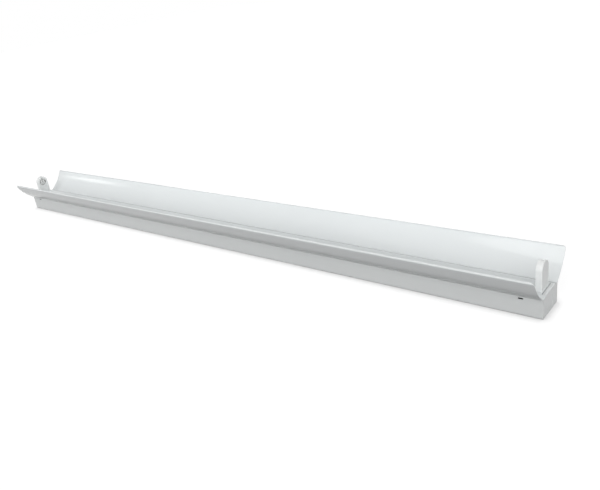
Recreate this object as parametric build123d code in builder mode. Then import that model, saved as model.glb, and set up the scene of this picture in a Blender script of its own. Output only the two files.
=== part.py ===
"""Ceiling batten for one straight two-pin tube: steel channel, trough reflector and two rotary lampholders.

Millimetres. X runs along the fixture, Y across it, and Z points away from the mounting face, which is Z = 0.
The light side faces up. Right is +X, left is -X, front is -Y and back is +Y.
"""

from build123d import *
import os

os.makedirs("parts", exist_ok=True)

# Channel
fixture_length = 1232.0
channel_width = 53.0
channel_height = 28.0
channel_sheet = 0.8
channel_bend = 1.6

# Fixing slots and dished cable entry in the channel's back
fixing_spacing = 900.0
fixing_slot_length = 12.0
fixing_slot_width = 6.5
entry_x = -60.0
entry_radius = 9.0
dish_radius = 17.0
dish_slope = 3.0
dish_rise = 2.4

# End plates
end_sheet = 0.8
end_flange = 12.0
end_side_flange = 10.0
end_side_margin = 4.0
end_clearance = 0.1
end_top_depth = 4.9
end_top_width = 34.0
end_top_bend = 2.0
end_top_gap = 0.8
knockout_radius = 10.0
knockout_height = 14.0
knockout_depth = 0.3

# Reflector, its width taken across the sharp corners of the rims
reflector_sheet = 0.6
reflector_width = 120.5
reflector_bend = 1.6
rim_height = 68.6
rim_lip = 3.6
wing_bow = 3.6
wing_corner = 6.0
floor_width = 36.0
floor_rise = 3.5
seat_width = 2.8
seat_overhang = 0.3

# Lampholders: depths run outward from the face that the tube's cap meets
lamp_axis_height = 59.0
holder_width = 24.5
holder_head = 12.9
holder_body_depth = 6.1
holder_cover_depth = 2.8
holder_end_ledge = 7.0
holder_edge = 0.8
foot_height = 5.0
foot_inset = 1.0
foot_setback = 0.6
plug_width = 20.0
plug_front = 1.5
plug_back = 0.5
plug_drop = 3.0
plug_clearance = 0.2
hook_reach = 0.8
hook_height = 2.6
hook_setback = 0.6
bore_radius = 7.9
entry_slot_width = 3.0
pin_groove_depth = 1.1

# Rotors
rotor_disc_radius = 8.6
rotor_hub_radius = 4.9
rotor_disc_depth = 2.8
rotor_slot_width = 2.9
rotor_web = 0.6
rotor_recess = 0.2
rotor_radial_clearance = 0.05
rotor_end_play = 0.1
rotor_rear_wall = 1.0
hub_edge = 0.4

# Lamp contacts, in pockets beside the rotor
lead_offset = 8.3
contact_thickness = 0.6
contact_depth = 3.0
contact_front = 1.7
contact_foot = 4.5
contact_reach = 3.5
contact_bump = 0.5
contact_bump_length = 3.0
pocket_clearance = 0.3

# Latches: spring clips under the reflector floor, with noses in slots in the channel sides
latch_inset = 29.5
latch_width = 12.0
latch_sheet = 0.5
latch_foot_start = 9.0
latch_leg_inset = 1.0
latch_bottom = 10.0
latch_arm_top = 27.2
latch_wall_gap = 0.3
latch_hinge_gap = 0.2
latch_bend = 1.5
latch_loop_slack = 0.1
latch_loop_tail = 0.65
latch_slot_height = 24.8
latch_slot_length = 6.6
latch_slot_width = 2.4
latch_slot_corner = 0.5
nose_clearance = 0.5
nose_height = 1.6
nose_lip = 0.6
nose_bite = 0.4

# Terminal bracket, a bridge welded to the channel's back
bracket_sheet = 0.8
bracket_clear = 4.2
bracket_left = -14.0
bracket_right = 54.0
bracket_foot = 8.0
bracket_width = 44.0
bracket_bend = 1.0

# Terminal block
block_depth = 17.0
block_height = 14.0
block_side = 5.0
block_ear = 6.4
block_ear_height = 4.0
block_edge = 0.8
tunnel_height = 5.5
tunnel_radius = 2.5
clamp_radius = 2.4
clamp_bore = 1.4
clamp_length = 14.0
clamp_screw_x = 4.0
clamp_screw_radius = 1.4
clamp_screw_length = 6.6
screw_clearance = 0.05
screw_well_clearance = 0.3
driver_slot_width = 0.6
driver_slot_depth = 0.7
fixing_screw_radius = 1.45
fixing_screw_drop = 3.0
fixing_head_radius = 2.8
fixing_head_height = 1.8

# Earth connection
earth_x = 44.0
earth_screw_radius = 2.0
earth_screw_drop = 3.0
earth_head_radius = 3.6
earth_head_height = 2.6
earth_head_edge = 0.9
earth_washer_radius = 4.0
earth_washer_sheet = 0.8
earth_washer_teeth = 10
earth_tooth_gap = 0.9
earth_tooth_depth = 0.9
earth_tag_radius = 4.2
earth_tag_sheet = 0.8
earth_tag_neck = 3.0
earth_barrel_radius = 1.9
earth_barrel_length = 6.0
earth_barrel_from_screw = 7.0

# Leads and their clips
lead_radius = 1.1
lead_clearance = 0.05
lead_height = 4.4
lead_start = 1.0
lead_drop_start = 64.0
lead_drop_end = 96.0
lead_drop_radius = 60.0
lead_rise_radius = 14.0
earth_lead_level = 3.5
earth_lead_bend_radius = 20.0
clip_count = 4
clip_length = 9.0
clip_base = 1.4
clip_wall = 1.4
clip_mouth = 1.7
clip_base_margin = 2.0

# Cable grommet
grommet_bore = 5.5
grommet_flange = 11.5
grommet_lower = 1.6
grommet_upper = 1.8
grommet_seat_clearance = 0.1
grommet_edge = 0.6

# Places that follow from the sizes above
half_length = fixture_length / 2
side_inner = channel_width / 2 - channel_sheet
floor_under = channel_height + floor_rise - reflector_sheet
floor_top = channel_height + floor_rise
rim_half = reflector_width / 2
seat_outer = channel_width / 2 + seat_overhang
seat_inner = seat_outer - seat_width
holder_depth = holder_body_depth + holder_cover_depth
holder_face = half_length - holder_end_ledge - holder_depth
holder_top = lamp_axis_height + holder_head
plug_far = holder_body_depth - plug_back
contact_x = holder_face + contact_front + contact_depth / 2
contact_bottom = floor_top + contact_foot
latch_x = half_length - latch_inset
arm_outer = side_inner - latch_wall_gap
arm_inner = arm_outer - latch_sheet
latch_leg = floor_width / 2 - latch_leg_inset
latch_loop_radius = (arm_inner - latch_leg) / 2 - latch_loop_slack
latch_hinge_height = latch_bottom + latch_loop_radius + latch_loop_tail
bracket_top = channel_sheet + bracket_clear + bracket_sheet
tunnel_axis = bracket_top + tunnel_height
barrel_axis = bracket_top + earth_barrel_radius

ENDS = {"left": -1, "right": 1}
SIDES = {"front": -1, "back": 1}


def end_plane(end, distance, height=0.0):
    """Plane square to X, facing out of one end, with its own y along Z."""
    return Plane(origin=(end * distance, 0, height), x_dir=(0, end, 0), z_dir=(end, 0, 0))


def side_plane(side, distance):
    """Plane square to X, with its own x running from the centre line to one side and its own y along Z."""
    return Plane(origin=(distance, 0, 0), x_dir=(0, side, 0), z_dir=(side, 0, 0))


def length_plane(end):
    """Plane along the fixture's middle, with its own x running out to one end and its own y along Z."""
    return Plane(origin=(0, 0, 0), x_dir=(end, 0, 0), z_dir=(0, -end, 0))


def save(builder, name):
    builder.part.label = name
    export_step(builder.part, f"parts/{name}.step")


# Base channel: a folded U whose back is the mounting face
with BuildPart() as base_channel:
    with BuildSketch(Plane.YZ):
        with BuildLine():
            FilletPolyline(
                (-channel_width / 2, channel_height),
                (-channel_width / 2, 0),
                (channel_width / 2, 0),
                (channel_width / 2, channel_height),
                radius=channel_bend,
            )
            offset(amount=channel_sheet, side=Side.LEFT)
        make_face()
    extrude(amount=half_length, both=True)
    with BuildSketch(Plane.XY):
        with GridLocations(fixing_spacing, 0, 2, 1):
            SlotOverall(fixing_slot_length, fixing_slot_width)
        with Locations((entry_x, 0)):
            Circle(dish_radius)
    extrude(amount=channel_sheet, mode=Mode.SUBTRACT)
    with BuildSketch(Plane.XZ):
        with BuildLine():
            Polyline(
                (entry_x + dish_radius, 0),
                (entry_x + dish_radius, channel_sheet),
                (entry_x + dish_radius - dish_slope, dish_rise + channel_sheet),
                (entry_x + entry_radius, dish_rise + channel_sheet),
                (entry_x + entry_radius, dish_rise),
                (entry_x + dish_radius - dish_slope, dish_rise),
                close=True,
            )
        make_face()
    revolve(axis=Axis((entry_x, 0, 0), (0, 0, 1)))
    with BuildSketch(Plane.XZ):
        with Locations((-latch_x, latch_slot_height), (latch_x, latch_slot_height)):
            RectangleRounded(latch_slot_length, latch_slot_width, latch_slot_corner)
    extrude(amount=channel_width, both=True, mode=Mode.SUBTRACT)
save(base_channel, "base_channel")

# End plates: pressed caps between the channel's sides, turned over at the top and flanged on to the channel's back
end_half_width = side_inner - end_clearance
end_corner = channel_bend - channel_sheet
for name, end in ENDS.items():
    with BuildPart() as end_plate:
        with BuildSketch(end_plane(end, half_length - end_sheet)):
            with BuildLine():
                Polyline(
                    (-end_half_width, channel_sheet + end_corner),
                    (end_corner - end_half_width, channel_sheet),
                    (end_half_width - end_corner, channel_sheet),
                    (end_half_width, channel_sheet + end_corner),
                    (end_half_width, channel_height - end_clearance),
                    (seat_inner, channel_height - end_clearance),
                    (floor_width / 2, floor_under - end_clearance),
                    (-floor_width / 2, floor_under - end_clearance),
                    (-seat_inner, channel_height - end_clearance),
                    (-end_half_width, channel_height - end_clearance),
                    close=True,
                )
            make_face()
        extrude(amount=end_sheet)
        with BuildSketch(length_plane(end)):
            with BuildLine():
                FilletPolyline(
                    (half_length, channel_height - end_clearance),
                    (half_length, floor_top),
                    (half_length - end_top_depth, floor_top),
                    radius=end_top_bend,
                )
                offset(amount=end_sheet, side=Side.LEFT)
            make_face()
        extrude(amount=end_top_width / 2, both=True)
        with BuildSketch(end_plane(end, half_length - end_flange)):
            with Locations((0, channel_sheet + end_sheet / 2)):
                Rectangle(2 * (end_half_width - end_corner), end_sheet)
        extrude(amount=end_flange)
        with BuildSketch(end_plane(end, half_length - end_side_flange)):
            tab_height = channel_height - channel_sheet - 2 * end_side_margin
            with Locations((0, channel_sheet + end_side_margin + tab_height / 2)):
                with GridLocations(2 * end_half_width - end_sheet, 0, 2, 1):
                    Rectangle(end_sheet, tab_height)
        extrude(amount=end_side_flange)
        with BuildSketch(end_plane(end, half_length - end_sheet - knockout_depth)):
            with Locations((0, knockout_height)):
                Circle(knockout_radius)
        extrude(amount=end_sheet)
        with BuildSketch(end_plane(end, half_length - knockout_depth)):
            with Locations((0, knockout_height)):
                Circle(knockout_radius)
        extrude(amount=knockout_depth, mode=Mode.SUBTRACT)
    save(end_plate, f"end_plate_{name}")

# Reflector: one folded sheet that seats on the channel's top edges, its floor notched for the end plates
with BuildPart() as reflector:
    with BuildSketch(Plane.YZ):
        with BuildLine() as underside:
            Polyline(
                (0, floor_under),
                (floor_width / 2, floor_under),
                (seat_inner, channel_height),
                (seat_outer, channel_height),
            )
            SagittaArc((seat_outer, channel_height), (rim_half, rim_height), -wing_bow)
            Line((rim_half, rim_height), (rim_half - rim_lip, rim_height))
            fillet(underside.vertices(), radius=reflector_bend)
            offset(amount=reflector_sheet, side=Side.LEFT)
        make_face()
        mirror(about=Plane.YZ)
    extrude(amount=half_length, both=True)
    with BuildSketch(Plane.XZ):
        with GridLocations(fixture_length - wing_corner, 0, 2, 1):
            with Locations((0, rim_height - wing_corner / 2)):
                Rectangle(wing_corner, wing_corner)
        with GridLocations(fixture_length - 2 * wing_corner, 0, 2, 1):
            with Locations((0, rim_height - wing_corner)):
                Circle(wing_corner, mode=Mode.SUBTRACT)
    extrude(amount=reflector_width, both=True, mode=Mode.SUBTRACT)
    hole_length = plug_far - plug_front + 2 * plug_clearance
    plug_x = holder_face + (plug_front + plug_far) / 2
    notch_depth = end_top_depth + end_top_gap
    with BuildSketch(Plane.XY.offset(floor_under)):
        with GridLocations(2 * plug_x, 0, 2, 1):
            Rectangle(hole_length, plug_width + 2 * plug_clearance)
        with GridLocations(fixture_length - notch_depth, 0, 2, 1):
            Rectangle(notch_depth, end_top_width + 2 * end_clearance)
    extrude(amount=reflector_sheet, mode=Mode.SUBTRACT)
save(reflector, "reflector")


def holder_outline(bottom):
    """Upright outline with a full round head, for a plane whose y is Z."""
    shoulder = holder_top - holder_width / 2
    with BuildSketch() as outline:
        with BuildLine():
            Polyline(
                (-holder_width / 2, shoulder),
                (-holder_width / 2, bottom),
                (holder_width / 2, bottom),
                (holder_width / 2, shoulder),
            )
            ThreePointArc((holder_width / 2, shoulder), (0, holder_top), (-holder_width / 2, shoulder))
        make_face()
    return outline.sketch


# Depths inside the lampholders
rotor_rear = holder_depth - rotor_rear_wall - rotor_end_play
rotor_disc_front = rotor_rear - rotor_disc_depth
rotor_shoulder = rotor_disc_front - rotor_end_play
rotor_bore = rotor_disc_radius + rotor_radial_clearance
contact_outer = lead_offset + contact_thickness / 2
contact_inner = lead_offset - contact_thickness / 2
contact_top = lamp_axis_height + contact_reach
pocket_top = contact_top + pocket_clearance
pocket_inner = contact_inner - contact_bump - pocket_clearance

# Lampholder bodies: moulded fronts with the pin bore, entry slot, contact pockets and a plug with snap hooks
for name, end in ENDS.items():
    with BuildPart() as body:
        with BuildSketch(end_plane(end, holder_face)):
            add(holder_outline(floor_top + foot_height))
        extrude(amount=holder_body_depth)
        fillet(body.faces().sort_by(Axis.X)[0 if end > 0 else -1].edges(), radius=holder_edge)
        with BuildSketch(end_plane(end, holder_face + foot_setback)):
            with Locations((0, floor_top + foot_height / 2)):
                Rectangle(holder_width - 2 * foot_inset, foot_height)
        extrude(amount=holder_body_depth - foot_setback)
        with BuildSketch(end_plane(end, holder_face + plug_front)):
            with Locations((0, (floor_top + floor_under - plug_drop) / 2)):
                Rectangle(plug_width, floor_top - floor_under + plug_drop)
        extrude(amount=plug_far - plug_front)
        with BuildSketch(end_plane(end, holder_face + plug_front + hook_setback)):
            for side in SIDES.values():
                with BuildLine():
                    Polyline(
                        (side * plug_width / 2, floor_under),
                        (side * (plug_width / 2 + hook_reach), floor_under),
                        (side * plug_width / 2, floor_under - hook_height),
                        close=True,
                    )
                make_face()
        extrude(amount=plug_far - plug_front - 2 * hook_setback)
        with BuildSketch(end_plane(end, holder_face, lamp_axis_height)):
            Circle(bore_radius)
            with Locations((0, holder_head / 2)):
                Rectangle(entry_slot_width, holder_head)
        extrude(amount=holder_body_depth, mode=Mode.SUBTRACT)
        with BuildSketch(end_plane(end, holder_face + rotor_shoulder, lamp_axis_height)):
            Circle(rotor_bore)
        extrude(amount=holder_body_depth - rotor_shoulder, mode=Mode.SUBTRACT)
        with BuildSketch(end_plane(end, holder_face + contact_front - pocket_clearance)):
            for side in SIDES.values():
                pocket_middle = side * (pocket_inner + contact_outer) / 2
                with Locations((pocket_middle, (contact_bottom + pocket_top) / 2)):
                    Rectangle(contact_outer - pocket_inner, pocket_top - contact_bottom)
        extrude(amount=contact_depth + 2 * pocket_clearance, mode=Mode.SUBTRACT)
        with BuildSketch(Plane.XY.offset(floor_under - plug_drop)):
            with Locations((end * contact_x, -lead_offset), (end * contact_x, lead_offset)):
                Circle(lead_radius + lead_clearance)
        extrude(amount=contact_bottom - floor_under + plug_drop, mode=Mode.SUBTRACT)
    save(body, f"lampholder_body_{name}")

# Lampholder covers: moulded backs that close the rotor and carry the groove for the pin tips
for name, end in ENDS.items():
    with BuildPart() as cover:
        with BuildSketch(end_plane(end, holder_face + holder_body_depth)):
            add(holder_outline(floor_top))
        extrude(amount=holder_cover_depth)
        outer_edges = cover.faces().sort_by(Axis.X)[-1 if end > 0 else 0].edges()
        above_floor = outer_edges.filter_by(lambda edge: edge.center().Z > floor_top + holder_edge)
        fillet(above_floor, radius=holder_edge)
        with BuildSketch(end_plane(end, holder_face + holder_body_depth, lamp_axis_height)):
            Circle(rotor_bore)
        extrude(amount=holder_cover_depth - rotor_rear_wall, mode=Mode.SUBTRACT)
        with BuildSketch(end_plane(end, holder_face + holder_body_depth, lamp_axis_height)):
            with Locations((0, holder_head / 2)):
                Rectangle(entry_slot_width, holder_head)
        extrude(amount=pin_groove_depth, mode=Mode.SUBTRACT)
    save(cover, f"lampholder_cover_{name}")

# Rotors: a slotted disc trapped between body and cover, with a raised hub in the middle of the pin bore
for name, end in ENDS.items():
    with BuildPart() as rotor:
        with BuildSketch(end_plane(end, holder_face + rotor_disc_front, lamp_axis_height)):
            Circle(rotor_disc_radius)
        extrude(amount=rotor_disc_depth)
        with BuildSketch(end_plane(end, holder_face + rotor_recess, lamp_axis_height)):
            Circle(rotor_hub_radius)
        extrude(amount=rotor_disc_front - rotor_recess)
        chamfer(rotor.faces().sort_by(Axis.X)[0 if end > 0 else -1].edges(), length=hub_edge)
        with BuildSketch(end_plane(end, holder_face, lamp_axis_height)):
            Rectangle(rotor_slot_width, 2 * rotor_bore)
        extrude(amount=rotor_rear - rotor_web, mode=Mode.SUBTRACT)
    save(rotor, f"rotor_{name}")

# Lamp contacts: two brass leaves in each holder, bowed towards the pins
for name, end in ENDS.items():
    with BuildPart() as contacts:
        with BuildSketch(end_plane(end, holder_face + contact_front)):
            for side in SIDES.values():
                bump_low = lamp_axis_height - contact_bump_length / 2
                bump_high = lamp_axis_height + contact_bump_length / 2
                with BuildLine():
                    Polyline(
                        (side * contact_inner, bump_low),
                        (side * contact_inner, contact_bottom),
                        (side * contact_outer, contact_bottom),
                        (side * contact_outer, contact_top),
                        (side * contact_inner, contact_top),
                        (side * contact_inner, bump_high),
                    )
                    ThreePointArc(
                        (side * contact_inner, bump_high),
                        (side * (contact_inner - contact_bump), lamp_axis_height),
                        (side * contact_inner, bump_low),
                    )
                make_face()
        extrude(amount=contact_depth)
    save(contacts, f"lamp_contacts_{name}")

# Latch springs: the folded strips under the reflector floor, from the welded foot to the loop below each arm
with BuildPart() as latch_springs:
    for end in ENDS.values():
        for side in SIDES.values():
            with BuildSketch(side_plane(side, end * latch_x)):
                with BuildLine():
                    FilletPolyline(
                        (latch_foot_start, floor_under),
                        (latch_leg, floor_under),
                        (latch_leg, latch_bottom),
                        (arm_inner, latch_bottom),
                        (arm_inner, latch_hinge_height),
                        radius=(latch_bend, latch_loop_radius, latch_loop_radius),
                    )
                    offset(amount=latch_sheet, side=Side.RIGHT)
                make_face()
            extrude(amount=latch_width / 2, both=True)
save(latch_springs, "latch_springs")

# Latch arms: the free ends of the springs, each with a nose that sits in a slot of the channel's side
for end_name, end in ENDS.items():
    for side_name, side in SIDES.items():
        arm_bottom = latch_hinge_height + latch_hinge_gap
        nose_top = latch_slot_height + nose_height / 2
        with BuildPart() as arm:
            with BuildSketch(side_plane(side, end * latch_x)):
                with Locations(((arm_inner + arm_outer) / 2, (arm_bottom + latch_arm_top) / 2)):
                    Rectangle(latch_sheet, latch_arm_top - arm_bottom)
            extrude(amount=latch_width / 2, both=True)
            with BuildSketch(side_plane(side, end * latch_x)):
                with BuildLine():
                    Polyline(
                        (arm_outer, nose_top),
                        (side_inner + nose_bite, nose_top),
                        (side_inner + nose_bite, nose_top - nose_lip),
                        (arm_outer, nose_top - nose_height),
                        close=True,
                    )
                make_face()
            extrude(amount=latch_slot_length / 2 - nose_clearance, both=True)
        save(arm, f"latch_arm_{side_name}_{end_name}")

# Terminal bracket: a bridge on the channel's back that keeps screw tips clear of the mounting face
block_half_width = lead_offset + block_side
fixing_screw_y = block_half_width + block_ear / 2
with BuildPart() as terminal_bracket:
    with BuildSketch(Plane.XZ):
        with BuildLine():
            FilletPolyline(
                (bracket_left - bracket_foot, channel_sheet),
                (bracket_left, channel_sheet),
                (bracket_left, bracket_top - bracket_sheet),
                (bracket_right, bracket_top - bracket_sheet),
                (bracket_right, channel_sheet),
                (bracket_right + bracket_foot, channel_sheet),
                radius=bracket_bend,
            )
            offset(amount=bracket_sheet, side=Side.LEFT)
        make_face()
    extrude(amount=bracket_width / 2, both=True)
    with BuildSketch(Plane.XY.offset(bracket_top - bracket_sheet)):
        with GridLocations(0, 2 * fixing_screw_y, 1, 2):
            Circle(fixing_screw_radius + screw_clearance)
        with Locations((earth_x, 0)):
            Circle(earth_screw_radius + screw_clearance)
    extrude(amount=bracket_sheet, mode=Mode.SUBTRACT)
save(terminal_bracket, "terminal_bracket")

# Terminal block: a moulded three pole block with a wire tunnel and two screw wells for each pole
clamp_screw_places = GridLocations(2 * clamp_screw_x, lead_offset, 2, 3)
with BuildPart() as terminal_block:
    with BuildSketch(Plane.XY.offset(bracket_top)):
        Rectangle(block_depth, 2 * block_half_width)
    extrude(amount=block_height)
    fillet(terminal_block.edges().group_by(Axis.Z)[-1], radius=block_edge)
    with BuildSketch(Plane.XY.offset(bracket_top)):
        Rectangle(block_depth, 2 * (block_half_width + block_ear))
    extrude(amount=block_ear_height)
    with BuildSketch(Plane.YZ.offset(-block_depth / 2)):
        with Locations((0, tunnel_axis)):
            with GridLocations(lead_offset, 0, 3, 1):
                Circle(tunnel_radius)
    extrude(amount=block_depth, mode=Mode.SUBTRACT)
    with BuildSketch(Plane.XY.offset(tunnel_axis)):
        with clamp_screw_places:
            Circle(clamp_screw_radius + screw_well_clearance)
    extrude(amount=block_height, mode=Mode.SUBTRACT)
    with BuildSketch(Plane.XY.offset(bracket_top)):
        with GridLocations(0, 2 * fixing_screw_y, 1, 2):
            Circle(fixing_screw_radius + screw_well_clearance)
    extrude(amount=block_ear_height, mode=Mode.SUBTRACT)
save(terminal_block, "terminal_block")

# Terminal clamps: brass tubes in the block's tunnels, drilled for their screws
with BuildPart() as terminal_clamps:
    with BuildSketch(Plane.YZ.offset(-clamp_length / 2)):
        with Locations((0, tunnel_axis)):
            with GridLocations(lead_offset, 0, 3, 1):
                Circle(clamp_radius)
                Circle(clamp_bore, mode=Mode.SUBTRACT)
    extrude(amount=clamp_length)
    with BuildSketch(Plane.XY.offset(tunnel_axis)):
        with clamp_screw_places:
            Circle(clamp_screw_radius + screw_clearance)
    extrude(amount=clamp_radius, mode=Mode.SUBTRACT)
save(terminal_clamps, "terminal_clamps")

# Terminal screws: slotted grub screws that bear on the leads
with BuildPart() as terminal_screws:
    screw_tip = tunnel_axis + lead_radius
    with BuildSketch(Plane.XY.offset(screw_tip)):
        with clamp_screw_places:
            Circle(clamp_screw_radius)
    extrude(amount=clamp_screw_length)
    with BuildSketch(Plane.XY.offset(screw_tip + clamp_screw_length - driver_slot_depth)):
        with clamp_screw_places:
            Rectangle(2 * clamp_screw_radius, driver_slot_width)
    extrude(amount=driver_slot_depth, mode=Mode.SUBTRACT)
save(terminal_screws, "terminal_screws")

# Terminal fixing screws: pan heads on the block's ears, threaded into the bracket
with BuildPart() as terminal_fixing_screws:
    fixing_screw_places = GridLocations(0, 2 * fixing_screw_y, 1, 2)
    ear_top = bracket_top + block_ear_height
    with BuildSketch(Plane.XY.offset(bracket_top - fixing_screw_drop)):
        with fixing_screw_places:
            Circle(fixing_screw_radius)
    extrude(amount=fixing_screw_drop + block_ear_height)
    with BuildSketch(Plane.XY.offset(ear_top)):
        with fixing_screw_places:
            Circle(fixing_head_radius)
    extrude(amount=fixing_head_height)
    with BuildSketch(Plane.XY.offset(ear_top + fixing_head_height - driver_slot_depth)):
        with fixing_screw_places:
            Rectangle(2 * fixing_head_radius, driver_slot_width)
    extrude(amount=driver_slot_depth, mode=Mode.SUBTRACT)
save(terminal_fixing_screws, "terminal_fixing_screws")

# Earth tag: a ring with a crimped barrel, flat on the bracket
with BuildPart() as earth_tag:
    barrel_start = earth_x - earth_barrel_from_screw - earth_barrel_length
    with BuildSketch(Plane.XY.offset(bracket_top)):
        with Locations((earth_x, 0)):
            Circle(earth_tag_radius)
        with Locations((earth_x - earth_barrel_from_screw / 2, 0)):
            Rectangle(earth_barrel_from_screw + earth_barrel_radius, earth_tag_neck)
        with Locations((earth_x, 0)):
            Circle(earth_screw_radius + screw_clearance, mode=Mode.SUBTRACT)
    extrude(amount=earth_tag_sheet)
    with BuildSketch(Plane.YZ.offset(barrel_start)):
        with Locations((0, barrel_axis)):
            Circle(earth_barrel_radius)
    extrude(amount=earth_barrel_length)
    with BuildSketch(Plane.YZ.offset(barrel_start)):
        with Locations((0, barrel_axis)):
            Circle(lead_radius + lead_clearance)
    extrude(amount=earth_barrel_length, mode=Mode.SUBTRACT)
save(earth_tag, "earth_tag")

# Earth washer: a toothed lock washer between the tag and the screw head
with BuildPart() as earth_washer:
    with BuildSketch(Plane.XY.offset(bracket_top + earth_tag_sheet)):
        with Locations((earth_x, 0)):
            Circle(earth_washer_radius)
            Circle(earth_screw_radius + screw_clearance, mode=Mode.SUBTRACT)
            with PolarLocations(earth_washer_radius, earth_washer_teeth):
                Rectangle(2 * earth_tooth_depth, earth_tooth_gap, mode=Mode.SUBTRACT)
    extrude(amount=earth_washer_sheet)
save(earth_washer, "earth_washer")

# Earth screw: a slotted pan head screw, threaded into the bracket
with BuildPart() as earth_screw:
    earth_head_base = bracket_top + earth_tag_sheet + earth_washer_sheet
    with BuildSketch(Plane.XY.offset(bracket_top - earth_screw_drop)):
        with Locations((earth_x, 0)):
            Circle(earth_screw_radius)
    extrude(amount=earth_head_base - bracket_top + earth_screw_drop)
    with BuildSketch(Plane.XY.offset(earth_head_base)):
        with Locations((earth_x, 0)):
            Circle(earth_head_radius)
    extrude(amount=earth_head_height)
    fillet(earth_screw.edges().group_by(Axis.Z)[-1], radius=earth_head_edge)
    with BuildSketch(Plane.XY.offset(earth_head_base + earth_head_height - driver_slot_depth)):
        with Locations((earth_x, 0)):
            Rectangle(2 * earth_head_radius, driver_slot_width)
    extrude(amount=driver_slot_depth, mode=Mode.SUBTRACT)
save(earth_screw, "earth_screw")


def check_lead(builder, length, name):
    """Print a swept lead's length and its volume as a share of section times length."""
    expected = length * Circle(lead_radius, mode=Mode.PRIVATE).area
    print(f"{name}: {length:.1f} mm long, volume share {builder.part.volume / expected:.4f}")


# Lamp leads: from the outer poles along the channel's back, then up into the right lampholder
for name, side in (("live_lead", -1), ("neutral_lead", 1)):
    with BuildPart() as lead:
        with BuildLine(Plane.XZ.offset(-side * lead_offset)) as route:
            FilletPolyline(
                (lead_start, tunnel_axis),
                (lead_drop_start, tunnel_axis),
                (lead_drop_end, lead_height),
                (contact_x, lead_height),
                (contact_x, contact_bottom),
                radius=(lead_drop_radius, lead_drop_radius, lead_rise_radius),
            )
        with BuildSketch(Plane(origin=route.line @ 0, z_dir=route.line % 0)):
            Circle(lead_radius)
        sweep()
    check_lead(lead, route.wires()[0].length, name)
    save(lead, name)

# Earth lead: from the middle pole to the earth tag
with BuildPart() as earth_lead:
    with BuildLine(Plane.XZ) as route:
        FilletPolyline(
            (lead_start, tunnel_axis),
            (block_depth / 2 + earth_lead_level, tunnel_axis),
            (barrel_start - earth_lead_level, barrel_axis),
            (barrel_start + earth_barrel_length, barrel_axis),
            radius=earth_lead_bend_radius,
        )
    with BuildSketch(Plane(origin=route.line @ 0, z_dir=route.line % 0)):
        Circle(lead_radius)
    sweep()
check_lead(earth_lead, route.wires()[0].length, "earth_lead")
save(earth_lead, "earth_lead")

# Wire clips: moulded saddles stuck to the channel's back, with two cradles each
cradle_half = lead_radius + lead_clearance + clip_wall
clip_run = contact_x - lead_rise_radius - lead_drop_end
clip_xs = [lead_drop_end + clip_run * (index + 1) / (clip_count + 1) for index in range(clip_count)]
with BuildPart() as wire_clips:
    for clip_x in clip_xs:
        with BuildSketch(Plane.YZ.offset(clip_x - clip_length / 2)):
            with Locations((0, channel_sheet + clip_base / 2)):
                Rectangle(2 * (lead_offset + cradle_half + clip_base_margin), clip_base)
            cradle_top = lead_height + lead_radius
            with Locations((0, (channel_sheet + cradle_top) / 2)):
                with GridLocations(2 * lead_offset, 0, 2, 1):
                    Rectangle(2 * cradle_half, cradle_top - channel_sheet)
            with Locations((0, lead_height)):
                with GridLocations(2 * lead_offset, 0, 2, 1):
                    Circle(lead_radius + lead_clearance, mode=Mode.SUBTRACT)
            with Locations((0, lead_height + lead_radius)):
                with GridLocations(2 * lead_offset, 0, 2, 1):
                    Rectangle(clip_mouth, 2 * lead_radius, mode=Mode.SUBTRACT)
        extrude(amount=clip_length)
save(wire_clips, "wire_clips")

# Cable grommet: a rubber bush in the dished entry, clear of the mounting face
with BuildPart() as cable_grommet:
    with BuildSketch(Plane.XZ):
        with BuildLine():
            Polyline(
                (entry_x + grommet_bore, dish_rise - grommet_lower),
                (entry_x + grommet_flange, dish_rise - grommet_lower),
                (entry_x + grommet_flange, dish_rise),
                (entry_x + entry_radius - grommet_seat_clearance, dish_rise),
                (entry_x + entry_radius - grommet_seat_clearance, dish_rise + channel_sheet),
                (entry_x + grommet_flange, dish_rise + channel_sheet),
                (entry_x + grommet_flange, dish_rise + channel_sheet + grommet_upper),
                (entry_x + grommet_bore, dish_rise + channel_sheet + grommet_upper),
                close=True,
            )
        make_face()
    revolve(axis=Axis((entry_x, 0, 0), (0, 0, 1)))
    flange_rims = cable_grommet.edges().filter_by(GeomType.CIRCLE).group_by(SortBy.RADIUS)[-1]
    rims_by_height = flange_rims.sort_by(Axis.Z)
    fillet([rims_by_height[0], rims_by_height[-1]], radius=grommet_edge)
save(cable_grommet, "cable_grommet")
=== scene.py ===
import math
import bpy
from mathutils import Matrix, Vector

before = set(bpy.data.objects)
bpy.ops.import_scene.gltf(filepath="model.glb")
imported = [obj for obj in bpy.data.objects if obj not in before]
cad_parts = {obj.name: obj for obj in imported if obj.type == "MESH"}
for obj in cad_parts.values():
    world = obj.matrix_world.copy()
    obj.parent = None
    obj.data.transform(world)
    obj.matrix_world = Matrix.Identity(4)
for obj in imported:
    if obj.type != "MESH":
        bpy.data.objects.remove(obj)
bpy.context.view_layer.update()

# Base channel: a U of 0.8 mm steel sheet, punched flat, folded on a press and then powder coated.
# The coat is a clean satin white with the faint ripple of stoved powder, thinner on the sheared edges.


def node_group(name, inputs, outputs):
    """Empty shader group with named sockets, and its two end nodes."""
    tree = bpy.data.node_groups.new(name, "ShaderNodeTree")
    for label, kind, value in inputs:
        socket = tree.interface.new_socket(label, in_out="INPUT", socket_type=kind)
        socket.default_value = value
    for label, kind in outputs:
        tree.interface.new_socket(label, in_out="OUTPUT", socket_type=kind)
    return tree, tree.nodes.new("NodeGroupInput"), tree.nodes.new("NodeGroupOutput")


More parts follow.
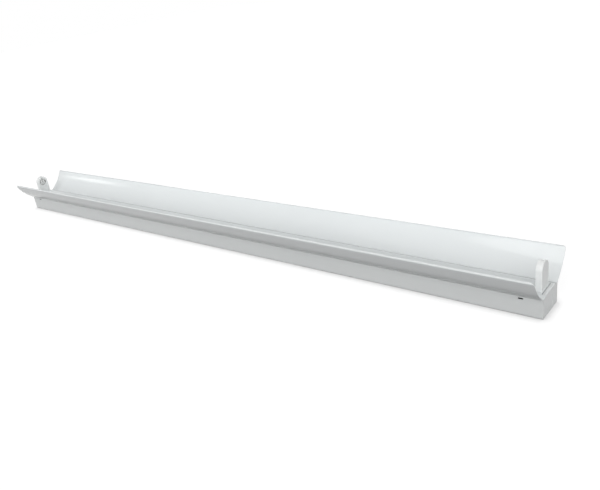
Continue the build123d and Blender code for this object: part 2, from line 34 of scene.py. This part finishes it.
def add_node(tree, kind, links=None, **settings):
    """One node, with settings on the node and links or plain values on its inputs, by name or number."""
    node = tree.nodes.new(kind)
    for name, value in settings.items():
        setattr(node, name, value)
    for label, source in (links or {}).items():
        if hasattr(source, "is_output"):
            tree.links.new(source, node.inputs[label])
        else:
            node.inputs[label].default_value = source
    return node


def noise(tree, place, scale, detail, roughness):
    """Cloudy noise, with its scale in features per metre."""
    node = add_node(tree, "ShaderNodeTexNoise", {
        "Vector": place, "Scale": scale, "Detail": detail, "Roughness": roughness,
    })
    return node.outputs["Fac"]


def rise(tree, value, zero_at, one_at):
    """Mask that rises from 0 to 1 as the value goes from one end of a range to the other."""
    node = add_node(tree, "ShaderNodeMapRange", {"Value": value, "From Min": zero_at, "From Max": one_at})
    return node.outputs["Result"]


def multiply(tree, first, second):
    """Product of two masks or values."""
    node = add_node(tree, "ShaderNodeMath", {0: first, 1: second}, operation="MULTIPLY")
    return node.outputs["Value"]


def mix_color(tree, mask, first, second):
    """Colour that goes from first to second with the mask."""
    node = add_node(tree, "ShaderNodeMixRGB", {"Fac": mask, "Color1": first, "Color2": second})
    return node.outputs["Color"]


def make_coat_ripple():
    """Height of a stoved powder coat: broad orange peel with finer ripple on it."""
    tree, start, end = node_group(
        "coat_ripple",
        [("Position", "NodeSocketVector", (0, 0, 0)), ("Ripples per metre", "NodeSocketFloat", 300.0)],
        [("Height", "NodeSocketFloat")],
    )
    peel = noise(tree, start.outputs["Position"], start.outputs["Ripples per metre"],
                 detail=2.0, roughness=0.45)
    tree.links.new(peel, end.inputs["Height"])
    return tree


def make_patchy_tone():
    """Two near tones in soft patches, and the patch mask itself."""
    tree, start, end = node_group(
        "patchy_tone",
        [
            ("Position", "NodeSocketVector", (0, 0, 0)),
            ("Patches per metre", "NodeSocketFloat", 10.0),
            ("Main tone", "NodeSocketColor", (0.8, 0.8, 0.8, 1)),
            ("Other tone", "NodeSocketColor", (0.7, 0.7, 0.7, 1)),
        ],
        [("Color", "NodeSocketColor"), ("Mask", "NodeSocketFloat")],
    )
    clouds = noise(tree, start.outputs["Position"], start.outputs["Patches per metre"],
                   detail=2.0, roughness=0.5)
    patches = rise(tree, clouds, zero_at=0.25, one_at=0.75)
    mixed = mix_color(tree, patches, start.outputs["Main tone"], start.outputs["Other tone"])
    tree.links.new(mixed, end.inputs["Color"])
    tree.links.new(patches, end.inputs["Mask"])
    return tree


def make_edge_rub():
    """Mask that is high along sharp edges and broken up by a fine noise."""
    tree, start, end = node_group(
        "edge_rub",
        [
            ("Position", "NodeSocketVector", (0, 0, 0)),
            ("Width", "NodeSocketFloat", 0.0005),
            ("Amount", "NodeSocketFloat", 0.5),
        ],
        [("Mask", "NodeSocketFloat")],
    )
    rounded = add_node(tree, "ShaderNodeBevel", {"Radius": start.outputs["Width"]}, samples=6)
    surface = add_node(tree, "ShaderNodeNewGeometry")
    normals = {0: rounded.outputs["Normal"], 1: surface.outputs["Normal"]}
    facing = add_node(tree, "ShaderNodeVectorMath", normals, operation="DOT_PRODUCT")
    edge = rise(tree, facing.outputs["Value"], zero_at=0.98, one_at=0.8)
    speckle = noise(tree, start.outputs["Position"], scale=180.0, detail=4.0, roughness=0.7)
    broken_edge = multiply(tree, edge, rise(tree, speckle, zero_at=0.4, one_at=0.65))
    tree.links.new(multiply(tree, broken_edge, start.outputs["Amount"]), end.inputs["Mask"])
    return tree


def make_resting_dust():
    """Mask of the thin dust that settles on faces that look up, in loose drifts."""
    tree, start, end = node_group(
        "resting_dust",
        [("Position", "NodeSocketVector", (0, 0, 0)), ("Amount", "NodeSocketFloat", 0.2)],
        [("Mask", "NodeSocketFloat")],
    )
    surface = add_node(tree, "ShaderNodeNewGeometry")
    split = add_node(tree, "ShaderNodeSeparateXYZ", {"Vector": surface.outputs["Normal"]})
    upward = rise(tree, split.outputs["Z"], zero_at=0.3, one_at=1.0)
    drift = noise(tree, start.outputs["Position"], scale=28.0, detail=6.0, roughness=0.65)
    settled = multiply(tree, upward, drift)
    tree.links.new(multiply(tree, settled, start.outputs["Amount"]), end.inputs["Mask"])
    return tree


coat_ripple = make_coat_ripple()
patchy_tone = make_patchy_tone()
edge_rub = make_edge_rub()
resting_dust = make_resting_dust()


def place_group(tree, group, **values):
    """A shared group in a material; underscores in the value names stand for spaces."""
    sockets = {name.replace("_", " "): value for name, value in values.items()}
    return add_node(tree, "ShaderNodeGroup", sockets, node_tree=group)


def spread(tree, mask, low, high):
    """A mask stretched to run from low to high."""
    node = add_node(tree, "ShaderNodeMapRange", {"Value": mask, "To Min": low, "To Max": high})
    return node.outputs["Result"]


def bump(tree, shader, height, depth, strength):
    """Surface relief of a given depth in metres."""
    node = add_node(tree, "ShaderNodeBump", {"Height": height, "Distance": depth, "Strength": strength})
    tree.links.new(node.outputs["Normal"], shader.inputs["Normal"])


def new_material(name):
    """Material with its shader and the part's own coordinates in metres."""
    material = bpy.data.materials.new(name)
    material.use_nodes = True
    tree = material.node_tree
    place = add_node(tree, "ShaderNodeTexCoord").outputs["Object"]
    return material, tree, tree.nodes["Principled BSDF"], place


def finish_surface(tree, shader, color, roughness):
    """Gives a material's shader the colour and roughness that change over the surface."""
    tree.links.new(color, shader.inputs["Base Color"])
    tree.links.new(roughness, shader.inputs["Roughness"])


def dress(material, *nodes):
    """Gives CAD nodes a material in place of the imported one."""
    for name in nodes:
        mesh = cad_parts[name].data
        mesh.materials.clear()
        mesh.materials.append(material)


def powder_coat(name, tone, shade, roughness, dust):
    """White stoved powder on steel sheet, with a little dust and lightly rubbed edges."""
    dust_tone = (0.6, 0.585, 0.55, 1)
    rubbed_tone = (0.5, 0.51, 0.51, 1)
    roughness_change = 0.02
    material, tree, shader, place = new_material(name)
    tones = place_group(tree, patchy_tone, Position=place, Patches_per_metre=7.0,
                        Main_tone=tone, Other_tone=shade)
    drift = place_group(tree, resting_dust, Position=place, Amount=dust)
    dusty = mix_color(tree, drift.outputs["Mask"], tones.outputs["Color"], dust_tone)
    rub = place_group(tree, edge_rub, Position=place, Width=0.0005, Amount=0.08)
    worn = mix_color(tree, rub.outputs["Mask"], dusty, rubbed_tone)
    patches = spread(tree, tones.outputs["Mask"], low=roughness, high=roughness + roughness_change)
    finish_surface(tree, shader, worn, patches)
    ripple = place_group(tree, coat_ripple, Position=place, Ripples_per_metre=320.0)
    bump(tree, shader, ripple.outputs["Height"], depth=0.00001, strength=0.5)
    return material


# The channel's white is set darker than the end plates', though both share one coat: painted shade for the
# sides under the reflector's wings.
channel_shaded_coat = powder_coat("channel_shaded_coat", tone=(0.74, 0.758, 0.756, 1), shade=(0.725, 0.745, 0.745, 1),
                           roughness=0.34, dust=0.05)
dress(channel_shaded_coat, "base_channel")

# End plates: pressed caps of the same sheet, spot welded between the channel's sides before coating.
# A round knockout is half sheared into each, for a cable or conduit through the end.
plate_coat = powder_coat("plate_coat", tone=(0.81, 0.828, 0.828, 1), shade=(0.78, 0.8, 0.802, 1),
                         roughness=0.38, dust=0.05)
dress(plate_coat, "end_plate_left", "end_plate_right")

# Cable grommet: a soft black rubber bush, pulled into the dished entry so that the cable isn't cut.
# Moulded rubber is matt, with a pale bloom in places.
rubber, tree, shader, place = new_material("grommet_rubber")
bloom = place_group(tree, patchy_tone, Position=place, Patches_per_metre=260.0,
                    Main_tone=(0.018, 0.018, 0.019, 1), Other_tone=(0.05, 0.05, 0.049, 1))
finish_surface(tree, shader, bloom.outputs["Color"], spread(tree, bloom.outputs["Mask"], low=0.62, high=0.85))
skin = place_group(tree, coat_ripple, Position=place, Ripples_per_metre=2400.0)
bump(tree, shader, skin.outputs["Height"], depth=0.00005, strength=0.6)
dress(rubber, "cable_grommet")

# Terminal bracket: a bridge of zinc plated steel strip, spot welded to the channel's back.
# Bright zinc has a faint blue and straw bloom and fine rolling lines along the strip.


def make_drawn_lines():
    """Fine lines along one direction, as rolling, drawing or brushing leaves them."""
    tree, start, end = node_group(
        "drawn_lines",
        [
            ("Position", "NodeSocketVector", (0, 0, 0)),
            ("Along", "NodeSocketVector", (20, 1, 1)),
            ("Lines per metre", "NodeSocketFloat", 900.0),
        ],
        [("Mask", "NodeSocketFloat")],
    )
    pull = {0: start.outputs["Position"], 1: start.outputs["Along"]}
    stretched = add_node(tree, "ShaderNodeVectorMath", pull, operation="DIVIDE")
    lines = noise(tree, stretched.outputs["Vector"], start.outputs["Lines per metre"],
                  detail=3.0, roughness=0.6)
    tree.links.new(lines, end.inputs["Mask"])
    return tree


drawn_lines = make_drawn_lines()


def plated_metal(name, tone, bloom, dark, along, roughness):
    """Bare or plated metal with drawn lines, a patchy bloom and dulled edges."""
    smoother = 0.08
    rougher = 0.14
    material, tree, shader, place = new_material(name)
    shader.inputs["Metallic"].default_value = 1.0
    tones = place_group(tree, patchy_tone, Position=place, Patches_per_metre=140.0,
                        Main_tone=tone, Other_tone=bloom)
    rub = place_group(tree, edge_rub, Position=place, Width=0.0003, Amount=0.6)
    worn = mix_color(tree, rub.outputs["Mask"], tones.outputs["Color"], dark)
    lines = place_group(tree, drawn_lines, Position=place, Along=along, Lines_per_metre=1500.0)
    streaks = spread(tree, lines.outputs["Mask"], low=roughness - smoother, high=roughness + rougher)
    finish_surface(tree, shader, worn, streaks)
    bump(tree, shader, lines.outputs["Mask"], depth=0.00003, strength=0.5)
    return material


bracket_zinc = plated_metal("bracket_zinc", tone=(0.62, 0.63, 0.64, 1), bloom=(0.66, 0.63, 0.55, 1),
                            dark=(0.42, 0.42, 0.41, 1), along=(25, 1, 1), roughness=0.3)
dress(bracket_zinc, "terminal_bracket")

# Terminal block: natural nylon, moulded with three wire tunnels, with brass tube clamps pushed into it.
# Steel grub screws bear on the wires, and two pan head screws hold the ears to the bracket.


def moulded_plastic(name, tone, shade, roughness, grain):
    """Moulded plastic with a fine tool grain and a faint change of tone."""
    edge_lift = 1.06
    roughness_change = 0.1
    material, tree, shader, place = new_material(name)
    tones = place_group(tree, patchy_tone, Position=place, Patches_per_metre=60.0,
                        Main_tone=tone, Other_tone=shade)
    rub = place_group(tree, edge_rub, Position=place, Width=0.0004, Amount=0.25)
    lighter = tuple(min(1.0, channel * edge_lift) for channel in tone[:3]) + (1,)
    worn = mix_color(tree, rub.outputs["Mask"], tones.outputs["Color"], lighter)
    patches = spread(tree, tones.outputs["Mask"], low=roughness, high=roughness + roughness_change)
    finish_surface(tree, shader, worn, patches)
    skin = place_group(tree, coat_ripple, Position=place, Ripples_per_metre=grain)
    bump(tree, shader, skin.outputs["Height"], depth=0.00003, strength=0.5)
    return material


nylon = moulded_plastic("natural_nylon", tone=(0.76, 0.74, 0.67, 1), shade=(0.72, 0.69, 0.6, 1),
                        roughness=0.48, grain=1500.0)
dress(nylon, "terminal_block")
clamp_brass = plated_metal("clamp_brass", tone=(0.74, 0.56, 0.27, 1), bloom=(0.66, 0.47, 0.21, 1),
                           dark=(0.42, 0.3, 0.14, 1), along=(25, 1, 1), roughness=0.28)
dress(clamp_brass, "terminal_clamps")
screw_zinc = plated_metal("screw_zinc", tone=(0.66, 0.66, 0.65, 1), bloom=(0.62, 0.6, 0.52, 1),
                          dark=(0.36, 0.36, 0.35, 1), along=(1, 1, 8), roughness=0.32)
dress(screw_zinc, "terminal_screws", "terminal_fixing_screws")

# Earth connection: a tinned ring tag under a toothed washer and a slotted brass screw.
# The tag's barrel is crimped on the earth lead, and the teeth bite through any film on the metal.
tag_tin = plated_metal("tag_tin", tone=(0.7, 0.69, 0.66, 1), bloom=(0.6, 0.59, 0.56, 1),
                       dark=(0.4, 0.39, 0.37, 1), along=(20, 1, 1), roughness=0.34)
dress(tag_tin, "earth_tag")
dress(bracket_zinc, "earth_washer")
screw_brass = plated_metal("screw_brass", tone=(0.76, 0.58, 0.29, 1), bloom=(0.63, 0.45, 0.2, 1),
                           dark=(0.38, 0.27, 0.12, 1), along=(1, 1, 8), roughness=0.3)
dress(screw_brass, "earth_screw")

# Inner wiring: single core leads in coloured PVC, brown for live, blue for neutral, and green with
# yellow for earth.
# Nylon saddles stuck to the channel's back hold the two long ones down.


def drawn_pvc(name, tone, shade, second_half=None):
    """PVC insulation with the faint lines of the extruder's die; one half may have a second colour."""
    blend = 0.0001
    material, tree, shader, place = new_material(name)
    tones = place_group(tree, patchy_tone, Position=place, Patches_per_metre=90.0,
                        Main_tone=tone, Other_tone=shade)
    color = tones.outputs["Color"]
    if second_half:
        across = add_node(tree, "ShaderNodeSeparateXYZ", {"Vector": place})
        back_side = rise(tree, across.outputs["Y"], zero_at=-blend, one_at=blend)
        color = mix_color(tree, back_side, color, second_half)
    lines = place_group(tree, drawn_lines, Position=place, Along=(60, 1, 1), Lines_per_metre=2600.0)
    finish_surface(tree, shader, color, spread(tree, lines.outputs["Mask"], low=0.34, high=0.5))
    bump(tree, shader, lines.outputs["Mask"], depth=0.00003, strength=0.4)
    return material


brown_pvc = drawn_pvc("brown_pvc", tone=(0.16, 0.065, 0.03, 1), shade=(0.2, 0.09, 0.045, 1))
dress(brown_pvc, "live_lead")
blue_pvc = drawn_pvc("blue_pvc", tone=(0.03, 0.11, 0.36, 1), shade=(0.045, 0.14, 0.42, 1))
dress(blue_pvc, "neutral_lead")
striped_pvc = drawn_pvc("striped_pvc", tone=(0.06, 0.26, 0.05, 1), shade=(0.08, 0.31, 0.07, 1),
                        second_half=(0.72, 0.58, 0.05, 1))
dress(striped_pvc, "earth_lead")
dress(nylon, "wire_clips")

# Reflector: one 0.6 mm sheet folded into a flat floor and two curved wings with a turned rim.
# It has the whitest and glossiest coat of all, because it throws the light out of the trough.
reflector_coat = powder_coat("reflector_coat", tone=(0.82, 0.85, 0.855, 1), shade=(0.805, 0.836, 0.842, 1),
                             roughness=0.08, dust=0.06)
dress(reflector_coat, "reflector")

# Latches: strips of spring steel with a dull black oxide finish, looped and welded under the reflector floor;
# their near black is partly that oxide and partly painted shade for the slots.
# Each free arm has a nose that snaps into a slot in the channel's side.
rubbed_oxide = (0.05, 0.05, 0.05, 1)
spring_black, tree, shader, place = new_material("spring_black")
shader.inputs["Specular IOR Level"].default_value = 0.1
# Near black tones: partly the oxide, partly painted shade, so that the nose in each channel slot shows as a
# dark hole.
oxide_and_slot_shade = place_group(tree, patchy_tone, Position=place, Patches_per_metre=220.0,
                    Main_tone=(0.006, 0.006, 0.007, 1), Other_tone=(0.014, 0.013, 0.012, 1))
rub = place_group(tree, edge_rub, Position=place, Width=0.0003, Amount=0.3)
worn = mix_color(tree, rub.outputs["Mask"], oxide_and_slot_shade.outputs["Color"], rubbed_oxide)
rolled = place_group(tree, drawn_lines, Position=place, Along=(1, 1, 22), Lines_per_metre=1500.0)
finish_surface(tree, shader, worn, spread(tree, rolled.outputs["Mask"], low=0.5, high=0.75))
bump(tree, shader, rolled.outputs["Mask"], depth=0.00003, strength=0.5)
dress(spring_black, "latch_springs", "latch_arm_front_left", "latch_arm_front_right", "latch_arm_back_left",
      "latch_arm_back_right")

# Lampholders: two mouldings each, a body with the tube's pin bore and a plain cover welded on behind it.
# They are white glass filled polyester, a little whiter than the painted sheet.
# Hooks on a plug below the body snap into a hole in the reflector floor.
holder_white = moulded_plastic("holder_white", tone=(0.88, 0.895, 0.893, 1), shade=(0.86, 0.875, 0.87, 1),
                               roughness=0.33, grain=1100.0)
dress(holder_white, "lampholder_body_left", "lampholder_body_right", "lampholder_cover_left",
      "lampholder_cover_right")

# Rotors: slotted discs trapped between body and cover, moulded in a slick white plastic.
# The tube's pins turn them from the entry slot to the contacts.
rotor_white = moulded_plastic("rotor_white", tone=(0.88, 0.89, 0.885, 1), shade=(0.86, 0.87, 0.86, 1),
                              roughness=0.28, grain=1600.0)
dress(rotor_white, "rotor_left", "rotor_right")

# Lamp contacts: leaves of springy brass in pockets beside the rotor, bowed where they press on the pins.
# They are nickel plated, so only a trace of the brass shows.
leaf_nickel = plated_metal("leaf_nickel", tone=(0.5, 0.485, 0.45, 1), bloom=(0.46, 0.44, 0.4, 1),
                           dark=(0.4, 0.34, 0.24, 1), along=(1, 1, 25), roughness=0.3)
dress(leaf_nickel, "lamp_contacts_left", "lamp_contacts_right")

# Studio: a pale seamless floor under soft light from the front, right and back, and two windows whose bright
# panes mirror in the gloss of the reflector at its ends.
# The camera sees floor and backdrop as white, with a painted contact shadow where the floor's glow fades next
# to the object, while the object is lit only by the lamps and a grey room.
floor_half = 6.0
floor_drop = 0.0003
floor_corners = [(-floor_half, -floor_half, 0), (floor_half, -floor_half, 0), (floor_half, floor_half, 0),
                 (-floor_half, floor_half, 0)]
floor_mesh = bpy.data.meshes.new("studio_floor")
floor_mesh.from_pydata(floor_corners, [], [(0, 1, 2, 3)])
studio_floor = bpy.data.objects.new("studio_floor", floor_mesh)
studio_floor.location.z = -floor_drop
bpy.context.scene.collection.objects.link(studio_floor)


def seen_ray(tree):
    """High for rays that show the background: straight from the camera, mirrored or through glass."""
    path = add_node(tree, "ShaderNodeLightPath").outputs
    seen = path["Is Camera Ray"]
    for other in (path["Is Glossy Ray"], path["Is Transmission Ray"]):
        seen = add_node(tree, "ShaderNodeMath", {0: seen, 1: other}, operation="MAXIMUM").outputs["Value"]
    return seen


floor_grey = 0.07
floor_seen_grey = 0.35
floor_glow = 0.78
painted_shadow_reach = 0.014
painted_shadow_depth = 0.85
floor_material = bpy.data.materials.new("studio_floor")
floor_material.use_nodes = True
tree = floor_material.node_tree
tree.nodes.clear()
seen = seen_ray(tree)
matt = add_node(tree, "ShaderNodeBsdfDiffuse", {"Color": spread(tree, seen, floor_grey, floor_seen_grey)})
# The floor's glow fades where its ambient occlusion finds the object close by: a painted contact shadow
# around the object's foot.
nearness = add_node(tree, "ShaderNodeAmbientOcclusion", {"Distance": painted_shadow_reach}, samples=4)
glow_less_painted_shadow = spread(tree, nearness.outputs["AO"], floor_glow * (1 - painted_shadow_depth), floor_glow)
glow = add_node(tree, "ShaderNodeEmission", {"Strength": multiply(tree, seen, glow_less_painted_shadow)})
both = add_node(tree, "ShaderNodeAddShader", {0: matt.outputs["BSDF"], 1: glow.outputs["Emission"]})
add_node(tree, "ShaderNodeOutputMaterial", {"Surface": both.outputs["Shader"]})
floor_mesh.materials.append(floor_material)

room_level = 0.3
backdrop_level = 1.0
world = bpy.data.worlds.new("studio_room")
bpy.context.scene.world = world
world.use_nodes = True
tree = world.node_tree
backdrop = tree.nodes["Background"]
tree.links.new(spread(tree, seen_ray(tree), room_level, backdrop_level), backdrop.inputs["Strength"])
backdrop.inputs["Color"].default_value = (1, 1, 1, 1)

lamp_distance = 3.0


def soft_sun(name, towards, width, level):
    """Even lamp, width in degrees; level is what a white face turned to it would show."""
    lamp = bpy.data.lights.new(name, "SUN")
    lamp.energy = level * math.pi
    lamp.angle = math.radians(width)
    holder = bpy.data.objects.new(name, lamp)
    bpy.context.scene.collection.objects.link(holder)
    holder.location = Vector(towards) * lamp_distance
    holder.rotation_euler = Vector(towards).to_track_quat("Z", "Y").to_euler()


soft_sun("high_front_lamp", towards=(0.1, -0.72, 0.68), width=85, level=0.18)
soft_sun("front_window", towards=(-0.057, -0.817, 0.574), width=38, level=0.19)
soft_sun("far_left_window", towards=(-0.82, -0.44, 0.34), width=4, level=0.0035)
soft_sun("low_right_lamp", towards=(0.6, -0.75, 0.25), width=50, level=0.33)
soft_sun("end_lamp", towards=(0.95, -0.25, 0.2), width=40, level=0.13)
soft_sun("back_lamp", towards=(-0.35, 0.88, 0.32), width=60, level=0.34)

# Camera: placed where the photograph was taken from, above the front of the right end.
# Its place in metres, turn in degrees and lens in millimetres frame the fixture as the photograph does.
camera_place = (0.85425, -0.74004, 0.46401)
camera_turn = (65.7817, 7.938, 38.0314)
camera_data = bpy.data.cameras.new("photo_camera")
camera_data.sensor_fit = "HORIZONTAL"
camera_data.sensor_width = 36.0
camera_data.lens = 38.177
camera = bpy.data.objects.new("photo_camera", camera_data)
bpy.context.scene.collection.objects.link(camera)
camera.location = camera_place
camera.rotation_euler = [math.radians(angle) for angle in camera_turn]
bpy.context.scene.camera = camera
bpy.context.scene.view_settings.view_transform = "Standard"
